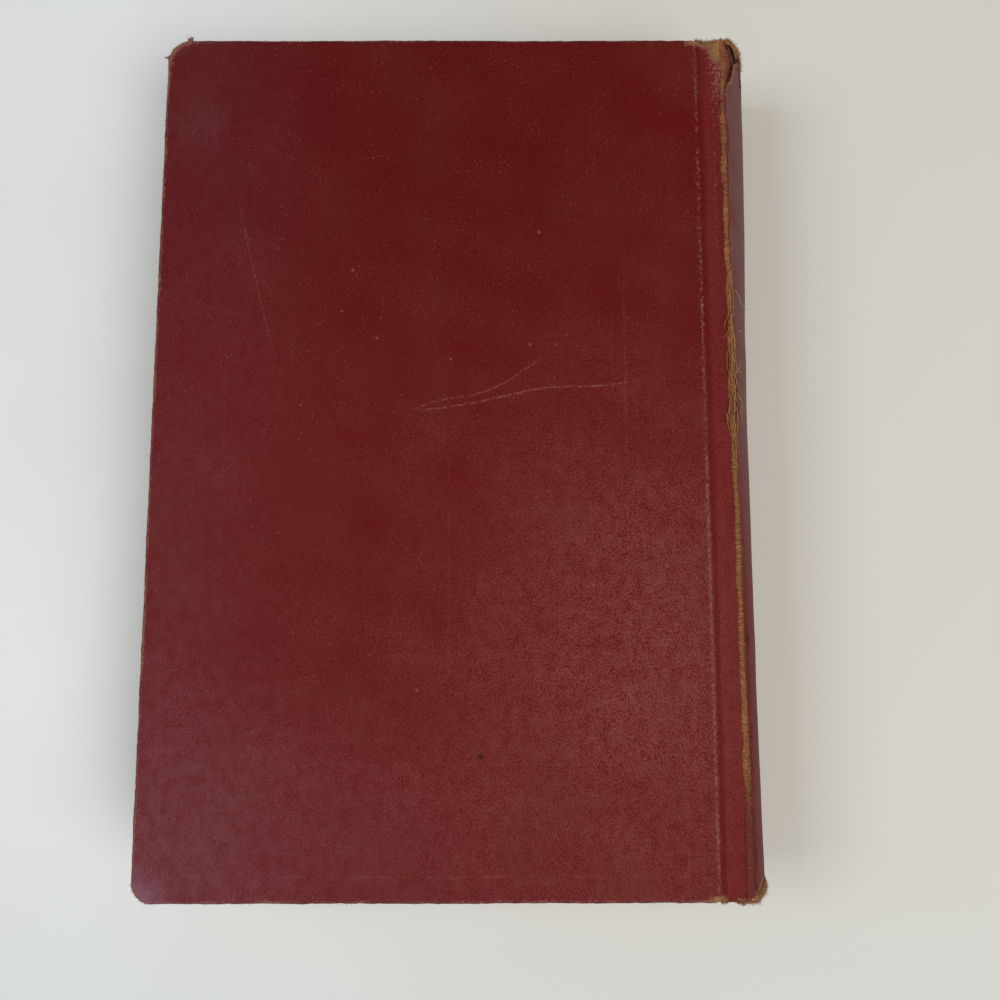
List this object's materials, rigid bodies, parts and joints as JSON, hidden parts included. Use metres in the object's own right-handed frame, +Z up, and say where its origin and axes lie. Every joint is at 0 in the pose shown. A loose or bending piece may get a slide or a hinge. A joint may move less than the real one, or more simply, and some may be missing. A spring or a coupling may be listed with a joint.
{
  "type": "hardback book",
  "caption": "Old cloth-covered hardback with a rounded spine, French joints and worn edges; both covers swing open on their joints.",
  "frame": {"origin": "centre of the book's footprint on the surface that its front cover lies on", "axes": "+X from the fore edge to the spine, +Y from the tail to the head, +Z up through the book to the back cover"},
  "size_m": [0.1464, 0.2104, 0.032],
  "materials": {
    "cover_cloth": "embossed book cloth, dark red, rubbed and lightly glazed",
    "spine_cloth": "the same cloth faded to mauve brown by light",
    "greyboard": "matt",
    "spine_card": "matt",
    "pages": "toned leaf edges, matt",
    "endpaper": "toned plain paper, matt",
    "kraft_paper": "matt",
    "mull": "stiffened open gauze",
    "band": "woven cotton band"
  },
  "bodies": {
    "book_block": {"text_block": "pages", "back_flyleaf": "endpaper", "front_flyleaf": "endpaper", "spine_mull": "mull", "spine_lining": "kraft_paper", "headband": "band", "tailband": "band", "spine_inlay": "spine_card", "spine_cloth": "spine_cloth"},
    "back_cover": {"back_board": "greyboard", "back_cover_cloth": "cover_cloth", "back_mull_flange": "mull", "back_pastedown": "endpaper"},
    "front_cover": {"front_board": "greyboard", "front_cover_cloth": "cover_cloth", "front_mull_flange": "mull", "front_pastedown": "endpaper"}
  },
  "joints": [
    {"name": "back_joint", "type": "hinge", "parent": "book_block", "child": "back_cover", "pos_m": [0.0675, 0, 0.03195], "axis": [0, 1, 0], "range_deg": [0, 180]},
    {"name": "front_joint", "type": "hinge", "parent": "book_block", "child": "front_cover", "pos_m": [0.0675, 0, 0.00005], "axis": [0, -1, 0], "range_deg": [0, 180]}
  ]
}
